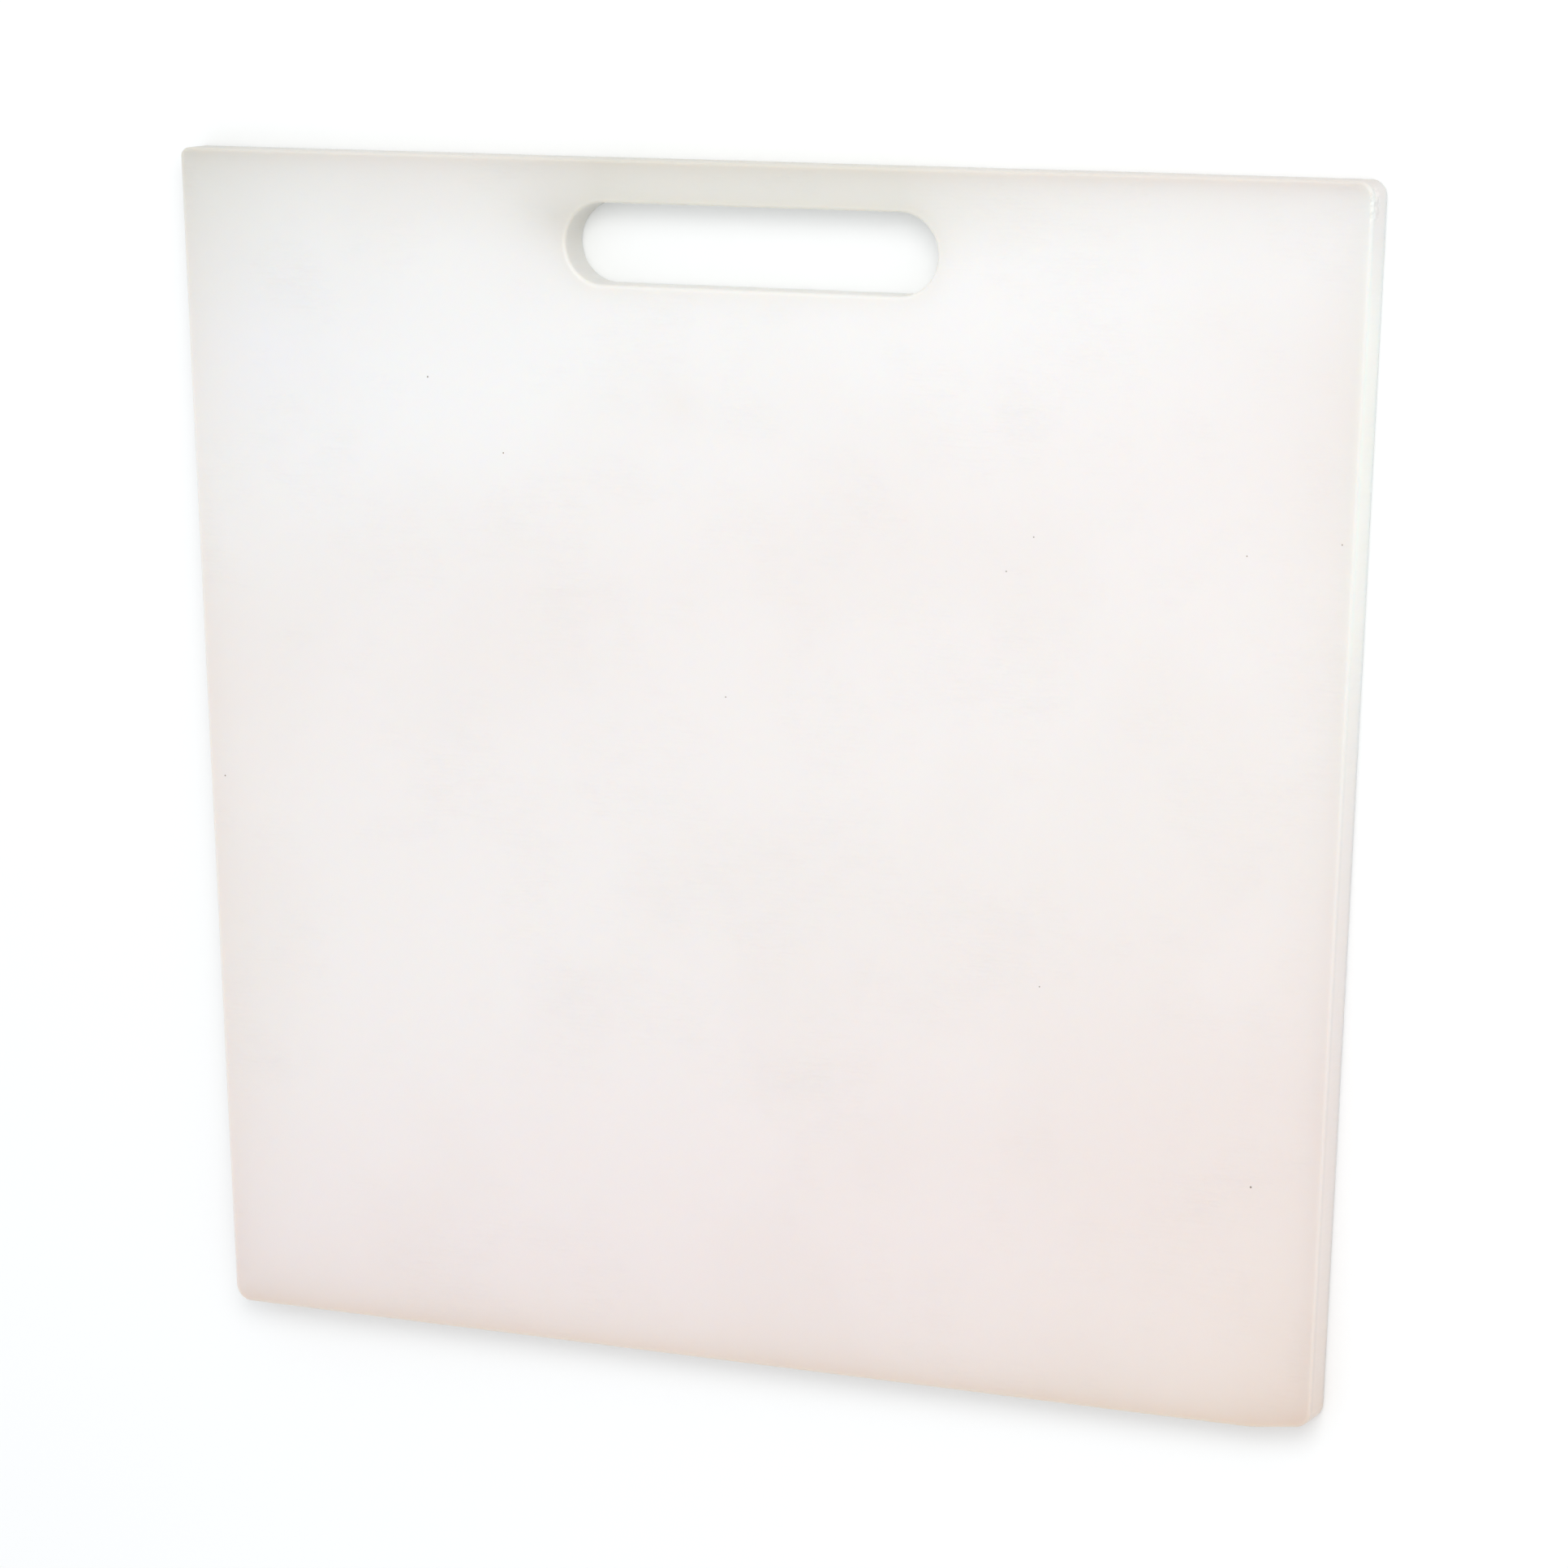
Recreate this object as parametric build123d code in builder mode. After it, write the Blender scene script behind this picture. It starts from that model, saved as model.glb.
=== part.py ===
"""One-piece cutting board, sawn from a half-inch sheet of white high-density polyethylene.

The board lies flat: +Z is up out of the cutting face, X runs along the wide edge that carries the hand
slot, and +Y points from the narrow edge to that wide edge. The origin is the middle of the underside.
All sizes are in millimetres.
"""
import os

from build123d import *

# Sheet blank: a tapered panel, widest along the edge that is held.
handle_edge_width = 406.4
narrow_edge_width = 378.0
board_depth = 381.0
sheet_thickness = 12.7

# The four corners are rounded by hand, each to its own radius.
handle_left_radius = 3.0
handle_right_radius = 5.0
narrow_right_radius = 5.2
narrow_left_radius = 5.7

# At the narrow edge's right end more has been sanded away: the edge leaves its line this far before the
# corner, round a wide radius, and has come up by the rise where it meets the side.
sanded_run = 19.0
sanded_rise = 2.4
sanded_start_radius = 60.0

# Hand slot: one pass of a one-inch cutter, so its ends are full rounds.
slot_length = 127.0
slot_width = 25.4
rim_beyond_slot = 13.6

# Every sharp edge is eased: round the outline, and round the slot on both faces.
outline_edge_radius = 1.0
slot_edge_radius = 1.2

# Places that follow from the sizes above.
handle_edge_y = board_depth / 2
narrow_edge_y = -board_depth / 2
slot_centre_y = handle_edge_y - rim_beyond_slot - slot_width / 2
side_slant = (handle_edge_width - narrow_edge_width) / 2 / board_depth

# The outline's corners, clockwise from the left end of the handle edge, with the radius at each.
outline_corners = [
    (-handle_edge_width / 2, handle_edge_y),
    (handle_edge_width / 2, handle_edge_y),
    (narrow_edge_width / 2 + sanded_rise * side_slant, narrow_edge_y + sanded_rise),
    (narrow_edge_width / 2 - sanded_run, narrow_edge_y),
    (-narrow_edge_width / 2, narrow_edge_y),
]
corner_radii = [
    handle_left_radius,
    handle_right_radius,
    narrow_right_radius,
    sanded_start_radius,
    narrow_left_radius,
]

# The board: the sheet with its slot, then the two easings, which run round both broad faces.
with BuildPart() as board:
    with BuildSketch(Plane.XY):
        with BuildLine():
            FilletPolyline(*outline_corners, radius=corner_radii, close=True)
        make_face()
        with Locations((0, slot_centre_y)):
            SlotOverall(slot_length, slot_width, mode=Mode.SUBTRACT)
    extrude(amount=sheet_thickness)
    broad_faces = board.faces().filter_by(Axis.Z)
    fillet([edge for face in broad_faces for edge in face.outer_wire().edges()], outline_edge_radius)
    broad_faces = board.faces().filter_by(Axis.Z)
    fillet([edge for face in broad_faces for edge in face.inner_wires()[0].edges()], slot_edge_radius)

board.part.label = "board"

os.makedirs("parts", exist_ok=True)
export_step(board.part, "parts/board.step")
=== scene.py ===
import math

import bmesh
import bpy
from mathutils import Matrix, Vector, noise


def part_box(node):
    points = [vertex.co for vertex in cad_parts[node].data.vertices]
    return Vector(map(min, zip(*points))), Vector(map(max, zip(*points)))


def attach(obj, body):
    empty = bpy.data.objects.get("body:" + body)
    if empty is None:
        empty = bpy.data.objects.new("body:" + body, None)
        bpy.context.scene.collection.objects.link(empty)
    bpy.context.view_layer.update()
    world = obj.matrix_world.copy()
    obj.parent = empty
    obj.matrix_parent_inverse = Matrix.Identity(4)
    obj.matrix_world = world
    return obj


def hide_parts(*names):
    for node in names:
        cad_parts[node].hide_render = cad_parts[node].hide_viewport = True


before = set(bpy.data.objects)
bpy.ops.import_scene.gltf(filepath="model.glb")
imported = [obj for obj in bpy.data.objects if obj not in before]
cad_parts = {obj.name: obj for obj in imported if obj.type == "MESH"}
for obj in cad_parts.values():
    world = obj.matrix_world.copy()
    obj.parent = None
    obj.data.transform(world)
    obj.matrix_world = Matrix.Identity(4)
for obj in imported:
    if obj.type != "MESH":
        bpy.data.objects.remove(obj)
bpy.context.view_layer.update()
scene = bpy.context.scene


# Camera: it stands off to the right of the board and a little past its handle edge, looking down at the
# middle of the cutting face, with the handle edge uppermost.
board_low, board_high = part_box("board")
thickness = board_high.z - board_low.z
aim = Vector((0.0122, -0.0021, board_high.z))
camera_distance = 1.7914
turned_right = math.radians(25.26)
past_handle_edge = math.radians(9.68)
lens_length = 131.8
sensor_width = 36.0

away = Vector((
    math.cos(past_handle_edge) * math.sin(turned_right),
    math.sin(past_handle_edge),
    math.cos(past_handle_edge) * math.cos(turned_right),
))
right = Vector((0, 1, 0)).cross(away).normalized()
up = away.cross(right)
lens = bpy.data.cameras.new("camera")
lens.lens = lens_length
lens.sensor_width = sensor_width
camera = bpy.data.objects.new("camera", lens)
facing = Matrix((right, up, away)).transposed().to_4x4()
camera.matrix_world = Matrix.Translation(aim + away * camera_distance) @ facing
scene.collection.objects.link(camera)
scene.camera = camera


# The board: one sheet of white high-density polyethylene, sawn a little narrower away from the handle
# edge. The corners are sanded round by hand, the slot is cut in one pass of a round cutter, and every
# edge is eased with a scraper, so none of them is quite even.
handle_edge_width = 0.4064
narrow_edge_width = 0.3780
handle_edge_y = board_high.y
narrow_edge_y = board_low.y
side_slant = (handle_edge_width - narrow_edge_width) / 2 / (handle_edge_y - narrow_edge_y)
handle_left_radius = 0.0030
handle_right_radius = 0.0050
narrow_right_radius = 0.0052
narrow_left_radius = 0.0057
sanded_run = 0.0190
sanded_rise = 0.0024
sanded_start_radius = 0.0600
slot_length = 0.1270
slot_width = 0.0254
rim_beyond_slot = 0.0136
slot_y = handle_edge_y - rim_beyond_slot - slot_width / 2
outline_easing = 0.0010
slot_easing = 0.0012

corner_steps = 14
slot_end_steps = 12
easing_steps = 6
flat_margin = 0.0006
grid = 0.010
touching = 1e-6
slot_surround = 0.001
square_edge = math.radians(60)
level = 0.999
large_face = 1e-4

# Outline: five corners, of which two make the stretch of the narrow edge that is sanded back.
right_side_end = Vector((narrow_edge_width / 2 + sanded_rise * side_slant, narrow_edge_y + sanded_rise, 0))
corners = [
    (Vector((-handle_edge_width / 2, handle_edge_y, 0)), handle_left_radius),
    (Vector((handle_edge_width / 2, handle_edge_y, 0)), handle_right_radius),
    (right_side_end, narrow_right_radius),
    (Vector((narrow_edge_width / 2 - sanded_run, narrow_edge_y, 0)), sanded_start_radius),
    (Vector((-narrow_edge_width / 2, narrow_edge_y, 0)), narrow_left_radius),
]
mesh = bmesh.new()
outline = [mesh.verts.new(place) for place, radius in corners]
mesh.faces.new(outline)
for index, (place, radius) in enumerate(corners):
    before = corners[index - 1][0] - place
    after = corners[(index + 1) % len(corners)][0] - place
    start_of_round = radius / math.tan(before.angle(after) / 2)
    bmesh.ops.bevel(mesh, geom=[outline[index]], offset=start_of_round, offset_type="OFFSET",
                    segments=corner_steps, profile=0.5, material=-1, affect="VERTICES")

# Slot: a rectangle whose corners are rounded until each end is a half circle.
slot_corners = [
    mesh.verts.new((end * slot_length / 2, slot_y + side * slot_width / 2, 0))
    for end, side in ((-1, 1), (1, 1), (1, -1), (-1, -1))
]
mesh.faces.new(slot_corners)
bmesh.ops.bevel(mesh, geom=slot_corners, offset=slot_width / 2, offset_type="OFFSET",
                segments=slot_end_steps, profile=0.5, material=-1, affect="VERTICES")
bmesh.ops.remove_doubles(mesh, verts=mesh.verts, dist=touching)

# Sheet: the face between outline and slot, raised to the sheet's thickness.
bmesh.ops.delete(mesh, geom=list(mesh.faces), context="FACES_ONLY")
bmesh.ops.triangle_fill(mesh, edges=list(mesh.edges), use_beauty=True, normal=(0, 0, 1))
inner_edges = [edge for edge in mesh.edges if not edge.is_boundary]
bmesh.ops.dissolve_limit(mesh, angle_limit=math.radians(1), verts=list(mesh.verts), edges=inner_edges)
bmesh.ops.recalc_face_normals(mesh, faces=mesh.faces)
raised = bmesh.ops.extrude_face_region(mesh, geom=list(mesh.faces))
raised_verts = [item for item in raised["geom"] if isinstance(item, bmesh.types.BMVert)]
bmesh.ops.translate(mesh, verts=raised_verts, vec=(0, 0, thickness))
bmesh.ops.recalc_face_normals(mesh, faces=mesh.faces)
mesh.normal_update()


def in_slot(vert):
    beside = abs(vert.co.x) < slot_length / 2 + slot_surround
    return beside and abs(vert.co.y - slot_y) < slot_width / 2 + slot_surround


def ease_rims(of_slot, size):
    rims = [
        edge for edge in mesh.edges
        if edge.calc_face_angle(0) > square_edge
        and abs(edge.verts[0].co.z - edge.verts[1].co.z) < touching
        and (in_slot(edge.verts[0]) and in_slot(edge.verts[1])) == of_slot
    ]
    bmesh.ops.bevel(mesh, geom=rims, offset=size, offset_type="OFFSET", segments=easing_steps,
                    profile=0.5, material=-1, affect="EDGES")


ease_rims(False, outline_easing)
ease_rims(True, slot_easing)
flats = [face for face in mesh.faces if abs(face.normal.z) > level and face.calc_area() > large_face]
bmesh.ops.inset_region(mesh, faces=flats, thickness=flat_margin, use_even_offset=True)
for across in (Vector((1, 0, 0)), Vector((0, 1, 0))):
    steps = math.ceil(handle_edge_width / 2 / grid)
    for step in range(-steps, steps + 1):
        bmesh.ops.bisect_plane(mesh, geom=[*mesh.verts, *mesh.edges, *mesh.faces], dist=touching,
                               plane_co=across * (step + 0.5) * grid, plane_no=across)

# Nicks: something hard has chewed the right wall just below the handle edge's corner, so the mesh is cut
# finer there.
nicked_x = 0.2030
nicked_y = 0.1840
nicked_length = 0.0120
nicked_height = 0.0060
nicked_z = thickness - 0.0035
deepest_z = thickness - 0.0015
nick_reach = 0.0035
nick_step = 0.0006
nick_depth = 0.00032
nick_size = 0.0016
fine_reach = 0.008
facing_right = 0.3
end_softness = 3

for across, middle, half in (
    (Vector((0, 1, 0)), nicked_y, nicked_length / 2),
    (Vector((0, 0, 1)), nicked_z, nicked_height / 2),
):
    steps = int(half / nick_step)
    for step in range(-steps, steps + 1):
        chewed = [
            face for face in mesh.faces
            if face.normal.x > facing_right and abs(face.calc_center_median().y - nicked_y) < fine_reach
        ]
        edges = dict.fromkeys(edge for face in chewed for edge in face.edges)
        verts = dict.fromkeys(vert for face in chewed for vert in face.verts)
        bmesh.ops.bisect_plane(mesh, geom=[*verts, *edges, *chewed], dist=touching,
                               plane_co=across * (middle + step * nick_step), plane_no=across)
mesh.normal_update()
for vert in mesh.verts:
    closeness = 1 - abs(vert.co.y - nicked_y) / (nicked_length / 2)
    near_arris = 1 - abs(vert.co.z - deepest_z) / nick_reach
    if vert.normal.x > facing_right and closeness > 0 and near_arris > 0:
        chew = max(0.0, noise.noise(vert.co / nick_size)) * min(1.0, end_softness * closeness) * near_arris
        vert.co.x -= nick_depth * chew
mesh.normal_update()

# Handwork: the scraper and the sander take a hair more in some places than in others, and the skived
# faces are flat only to a hair.
edge_unevenness = 0.00012
face_unevenness = 0.00008
edge_waves = 24.0
face_waves = 9.0
for vert in mesh.verts:
    outwards = Vector((vert.normal.x, vert.normal.y, 0))
    edge_share = 0.5 + 0.5 * noise.noise(vert.co * edge_waves)
    face_share = 0.5 + 0.5 * noise.noise(vert.co * face_waves)
    inwards = -outwards * edge_share * edge_unevenness
    inwards.z = -vert.normal.z * abs(vert.normal.z) * face_share * face_unevenness
    vert.co += inwards
for face in mesh.faces:
    face.smooth = True
board_mesh = bpy.data.meshes.new("cutting_board")
mesh.to_mesh(board_mesh)
mesh.free()
board = bpy.data.objects.new("cutting_board", board_mesh)
scene.collection.objects.link(board)

# Plastic: milky, so light goes a few millimetres in before it comes out again.
plastic = bpy.data.materials.new("milky polyethylene")
plastic.use_nodes = True
tree = plastic.node_tree
shader = tree.nodes["Principled BSDF"]
shader.inputs["IOR"].default_value = 1.54
shader.inputs["Subsurface Weight"].default_value = 1.0
shader.inputs["Subsurface Radius"].default_value = (1.0, 0.85, 0.7)
shader.inputs["Subsurface Scale"].default_value = 0.003
where = tree.nodes.new("ShaderNodeTexCoord").outputs["Object"]
along = tree.nodes.new("ShaderNodeSeparateXYZ")
tree.links.new(where, along.inputs[0])
along_x, along_y, along_z = along.outputs


def feed(socket, value):
    if isinstance(value, bpy.types.NodeSocket):
        tree.links.new(value, socket)
    else:
        socket.default_value = value


def reckon(operation, *values):
    step = tree.nodes.new("ShaderNodeMath")
    step.operation = operation
    for socket, value in zip(step.inputs, values):
        feed(socket, value)
    return step.outputs[0]


def both(mask, other):
    return reckon("MULTIPLY", mask, other)


def ramp(value, start, end, low=0.0, high=1.0):
    step = tree.nodes.new("ShaderNodeMapRange")
    step.interpolation_type = "SMOOTHSTEP"
    feed(step.inputs["Value"], value)
    feed(step.inputs["From Min"], start)
    feed(step.inputs["From Max"], end)
    feed(step.inputs["To Min"], low)
    feed(step.inputs["To Max"], high)
    return step.outputs[0]


def fade(distance, reach):
    return reckon("EXPONENT", reckon("MULTIPLY", reckon("MAXIMUM", distance, 0.0), -1 / reach))


def stain(colour, tint, mask):
    step = tree.nodes.new("ShaderNodeMix")
    step.data_type = "RGBA"
    step.blend_type = "MULTIPLY"
    feed(step.inputs["Factor"], mask)
    feed(step.inputs["A"], colour)
    feed(step.inputs["B"], (*tint, 1))
    return step.outputs["Result"]


def grain(size, detail=3.0, stretch=(1, 1, 1), turn=0.0):
    placed = tree.nodes.new("ShaderNodeMapping")
    placed.inputs["Rotation"].default_value = (0, 0, turn)
    placed.inputs["Scale"].default_value = stretch
    tree.links.new(where, placed.inputs["Vector"])
    step = tree.nodes.new("ShaderNodeTexNoise")
    step.inputs["Scale"].default_value = 1 / size
    step.inputs["Detail"].default_value = detail
    tree.links.new(placed.outputs[0], step.inputs["Vector"])
    return step.outputs["Fac"]


def distance_from(x, y):
    gap = tree.nodes.new("ShaderNodeCombineXYZ")
    feed(gap.inputs["X"], reckon("SUBTRACT", along_x, x))
    feed(gap.inputs["Y"], reckon("SUBTRACT", along_y, y))
    size = tree.nodes.new("ShaderNodeVectorMath")
    size.operation = "LENGTH"
    tree.links.new(gap.outputs[0], size.inputs[0])
    return size.outputs["Value"]


# How far each point lies from the edges, from the slot and from the two faces. The left and right rims
# get less of the painted rim shade than the ends, so they count as further in.
left_rim_shade_offset = 0.0025
right_rim_shade_offset = 0.0060
wall_start = 0.0003
wall_full = 0.0011
from_narrow = reckon("SUBTRACT", along_y, narrow_edge_y)
half_width = reckon("MULTIPLY_ADD", from_narrow, side_slant, narrow_edge_width / 2)
from_left = reckon("ADD", half_width, along_x)
from_right = reckon("SUBTRACT", half_width, along_x)
from_handle = reckon("SUBTRACT", handle_edge_y, along_y)
from_end = reckon("MINIMUM", from_handle, from_narrow)
left_rim = reckon("ADD", from_left, left_rim_shade_offset)
right_rim = reckon("ADD", from_right, right_rim_shade_offset)
from_shaded_rim = reckon("MINIMUM", from_end, reckon("MINIMUM", left_rim, right_rim))
past_straight = reckon("SUBTRACT", reckon("ABSOLUTE", along_x), (slot_length - slot_width) / 2)
past_slot_end = reckon("MAXIMUM", past_straight, 0.0)
off_slot_line = reckon("SUBTRACT", along_y, slot_y)
slot_gap_squared = reckon("MULTIPLY_ADD", off_slot_line, off_slot_line, both(past_slot_end, past_slot_end))
from_slot = reckon("SUBTRACT", reckon("SQRT", slot_gap_squared), slot_width / 2)
above_underside = reckon("SUBTRACT", along_z, board_low.z)
below_cutting_face = reckon("SUBTRACT", board_high.z, along_z)
depth_in = reckon("MINIMUM", above_underside, below_cutting_face)
on_wall = ramp(depth_in, wall_start, wall_full)

# Colour: clean milky white, with two faint warm washes that run a little askew across the board, from
# past the slot to the narrow edge; they are partly yellowing of the plastic and partly painted warm shade
# that darkens the board towards the narrow edge. Each wash has where it starts, where it is full, and its
# tint.
clean_white = (0.86, 0.86, 0.86, 1)
wash_slant = -0.25
yellowing_and_shade_washes = [
    (0.150, 0.055, (0.975, 0.945, 0.935)),
    (-0.020, -0.170, (0.985, 0.945, 0.950)),
]
colour = clean_white
across_washes = reckon("MULTIPLY_ADD", along_x, wash_slant, along_y)
for start, full, tint in yellowing_and_shade_washes:
    colour = stain(colour, tint, ramp(across_washes, start, full))

# A tint round one place: its x and y, its reach, and its tint. The first two are the handle edge's
# corners, the left one painted shade and the right one a little darker; the third is painted cool light
# on the left of the face; the next three are painted warm shade round the narrow edge's corners; the
# seventh darkens the face round the slot's left end; the last is a faint stain.
stain_shade_and_light_spots = [
    (-handle_edge_width / 2, handle_edge_y, 0.060, (0.830, 0.840, 0.810)),
    (handle_edge_width / 2, handle_edge_y, 0.050, (0.960, 0.955, 0.960)),
    (-0.172, 0.128, 0.028, (1.015, 1.020, 1.055)),
    (0.190, -0.190, 0.090, (0.985, 0.960, 0.900)),
    (0.187, -0.190, 0.016, (0.930, 0.880, 0.860)),
    (-0.189, -0.190, 0.030, (0.960, 0.950, 0.950)),
    (-0.067, 0.172, 0.012, (0.880, 0.870, 0.850)),
    (-0.023, 0.115, 0.010, (0.970, 0.955, 0.945)),
]
for x, y, reach, tint in stain_shade_and_light_spots:
    colour = stain(colour, tint, fade(distance_from(x, y), reach))

# Painted shade that fades inwards from a rim, darker and warmer at the edges of the milky sheet: the
# distance that it follows, its reach, and its tint.
shaded_rims = [
    (from_shaded_rim, 0.0200, (0.955, 0.940, 0.920)),
    (from_shaded_rim, 0.0040, (0.940, 0.925, 0.915)),
    (from_shaded_rim, 0.0012, (0.930, 0.930, 0.920)),
    (from_handle, 0.0100, (0.940, 0.940, 0.935)),
    (from_narrow, 0.0070, (0.965, 0.940, 0.885)),
    (from_slot, 0.0030, (0.910, 0.905, 0.880)),
]
for distance, reach, tint in shaded_rims:
    colour = stain(colour, tint, fade(distance, reach))

# The strip between the slot and the handle edge, which the palm wraps round, is painted darker and
# yellower as shade.
strip_shade_start = slot_y - 0.006
strip_shade_reach = 0.030
strip_shade_tint = (0.90, 0.90, 0.865)
strip_shade = both(ramp(along_y, strip_shade_start, slot_y + slot_width / 2), fade(past_slot_end, strip_shade_reach))
colour = stain(colour, strip_shade_tint, strip_shade)

# The handle edge's rim is greyer towards its right end: painted shade that dulls the arris highlight
# there.
handle_rim_shade_reach = 0.0025
handle_rim_shade_start = 0.04
handle_rim_shade_full = 0.15
handle_rim_shade_tint = (0.95, 0.93, 0.92)
handle_rim_shade = both(fade(from_handle, handle_rim_shade_reach), ramp(along_x, handle_rim_shade_start, handle_rim_shade_full))
colour = stain(colour, handle_rim_shade_tint, handle_rim_shade)

# The right wall is painted lighter along its upper half as painted light, its arris is painted darker
# along its lower half as painted shade over the highlight, and along the upper half the arris is painted a
# little cooler.
wall_light_tint = (1.07, 1.12, 1.10)
wall_light_ends_y = (-0.020, 0.182)
wall_lightest_y = (0.100, 0.140)
beside_wall = 0.0060
at_wall = 0.0020
right_wall = both(on_wall, ramp(from_right, beside_wall, at_wall))
upper_end = ramp(along_y, wall_light_ends_y[1], wall_lightest_y[1])
lower_end = ramp(along_y, wall_light_ends_y[0], wall_lightest_y[0])
colour = stain(colour, wall_light_tint, both(right_wall, both(upper_end, lower_end)))
arris_shade_tint = (0.91, 0.925, 0.935)
arris_cool_tint = (0.94, 0.99, 0.99)
arris_shade_from_y = 0.080
arris_shade_full_y = -0.030
arris_reach = 0.0030
arris_bottom = 0.0035
arris_full = 0.0008
right_arris = both(fade(from_right, arris_reach), ramp(depth_in, arris_bottom, arris_full))
colour = stain(colour, arris_shade_tint, both(right_arris, ramp(along_y, arris_shade_from_y, arris_shade_full_y)))
colour = stain(colour, arris_cool_tint, both(right_arris, ramp(along_y, arris_shade_full_y, arris_shade_from_y)))

# The nicks are speckled paler in some places and greyer in others.
pale_speck_tint = (1.07, 1.07, 1.07)
grey_speck_tint = (0.93, 0.93, 0.93)
bruise_size = 0.0018
round_nicks = ramp(distance_from(nicked_x, nicked_y), 0.0062, 0.0040)
outside_rim = ramp(from_right, 0.0014, 0.0008)
upper_part = ramp(along_z, thickness - 0.0070, thickness - 0.0040)
on_nicks = both(both(round_nicks, outside_rim), upper_part)
bruises = grain(bruise_size, 2.0)
colour = stain(colour, pale_speck_tint, both(on_nicks, ramp(bruises, 0.50, 0.44)))
colour = stain(colour, grey_speck_tint, both(on_nicks, ramp(bruises, 0.53, 0.60)))

# Faint clouding in the sheet, and ten specks of dirt pressed into it: x, y and radius.
cloud_size = 0.090
cloud_tint = (0.988, 0.984, 0.980)
colour = stain(colour, cloud_tint, ramp(grain(cloud_size, 2.0), 0.42, 0.62))
speck_tint = (0.35, 0.30, 0.25)
speck_core = 0.4
specks = [
    (-0.113, 0.120, 0.00040),
    (-0.086, 0.097, 0.00035),
    (0.096, 0.080, 0.00030),
    (0.087, 0.069, 0.00030),
    (-0.008, 0.024, 0.00030),
    (0.165, 0.078, 0.00030),
    (0.195, 0.083, 0.00030),
    (-0.190, -0.014, 0.00035),
    (0.099, -0.059, 0.00030),
    (0.169, -0.115, 0.00045),
]
for x, y, radius in specks:
    colour = stain(colour, speck_tint, ramp(distance_from(x, y), radius, radius * speck_core))
feed(shader.inputs["Base Color"], colour)

# Finish: skived faces with a faint satin grain and a few knife marks, sawn and scraped walls. Each set
# of knife marks has its turn and its spacing.
stroke_sets = [(0.25, 0.020), (1.15, 0.026), (-0.60, 0.023)]
stroke_stretch = (1, 22, 1)
stroke_fineness = 0.0075
stroke_patch_size = 0.030
stroke_patch_turn = 1.3
knife_marks = 0.0
for turn, size in stroke_sets:
    lines = grain(size, 1.0, stroke_stretch, turn)
    line = ramp(reckon("ABSOLUTE", reckon("SUBTRACT", lines, 0.5)), stroke_fineness, 0.0)
    patches = ramp(grain(stroke_patch_size, 1.0, (1, 1, 1), turn + stroke_patch_turn), 0.56, 0.64)
    knife_marks = reckon("MAXIMUM", knife_marks, both(line, patches))

satin_size = 0.0009
sheen_patch_size = 0.045
saw_mark_size = 0.0013
saw_mark_stretch = (1, 1, 0.03)
glossiest = 0.38
dullest = 0.46
wall_dulling = 0.10
knife_dulling = 0.08
satin = grain(satin_size, 4.0)
saw_marks = grain(saw_mark_size, 3.0, saw_mark_stretch)
roughness = ramp(grain(sheen_patch_size), 0.3, 0.7, glossiest, dullest)
roughness = reckon("MULTIPLY_ADD", on_wall, wall_dulling, roughness)
roughness = reckon("MULTIPLY_ADD", knife_marks, knife_dulling, roughness)
feed(shader.inputs["Roughness"], roughness)


def relief(height, depth, strength, below=None):
    step = tree.nodes.new("ShaderNodeBump")
    step.inputs["Distance"].default_value = depth
    feed(step.inputs["Strength"], strength)
    tree.links.new(height, step.inputs["Height"])
    if below:
        tree.links.new(below, step.inputs["Normal"])
    return step.outputs[0]


satin_depth = 0.00004
saw_depth = 0.00020
knife_depth = 0.00006
surface = relief(satin, satin_depth, 0.5)
surface = relief(saw_marks, saw_depth, reckon("MULTIPLY", on_wall, 0.7), surface)
surface = relief(reckon("SUBTRACT", 1.0, knife_marks), knife_depth, 0.5, surface)
feed(shader.inputs["Normal"], surface)
board.data.materials.append(plastic)
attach(board, "root")
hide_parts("board")


# Floor: a wide sheet of plain white studio paper, laid flat and level with the underside of the board.
# It isn't part of the board.
paper_colour = (0.93, 0.945, 0.95, 1)
paper_half_width = 6.0
floor_mesh = bpy.data.meshes.new("floor")
sheet = bmesh.new()
bmesh.ops.create_grid(sheet, x_segments=1, y_segments=1, size=paper_half_width)
sheet.to_mesh(floor_mesh)
sheet.free()
floor = bpy.data.objects.new("floor", floor_mesh)
scene.collection.objects.link(floor)
paper = bpy.data.materials.new("studio paper")
paper.use_nodes = True
paper_shader = paper.node_tree.nodes["Principled BSDF"]
paper_shader.inputs["Base Color"].default_value = paper_colour
paper_shader.inputs["Roughness"].default_value = 0.9
floor.data.materials.append(paper)


# Lights: soft white from all round, with one large, slightly warm panel high past the handle edge's
# right end.
room_white = (0.985, 0.99, 1, 1)
room_strength = 0.90
world = bpy.data.worlds.new("studio")
world.use_nodes = True
room = world.node_tree.nodes["Background"]
room.inputs["Color"].default_value = room_white
room.inputs["Strength"].default_value = room_strength
scene.world = world

window_place = Vector((0.60, 0.85, 1.45))
window_target = Vector((0, 0.05, 0))
window = bpy.data.lights.new("window", "AREA")
window.shape = "RECTANGLE"
window.size = 1.1
window.size_y = 0.9
window.energy = 10
window.color = (1.0, 0.98, 0.95)
lamp = bpy.data.objects.new("window", window)
turn = (window_target - window_place).to_track_quat("-Z", "Y").to_matrix().to_4x4()
lamp.matrix_world = Matrix.Translation(window_place) @ turn
scene.collection.objects.link(lamp)
scene.view_settings.view_transform = "Standard"
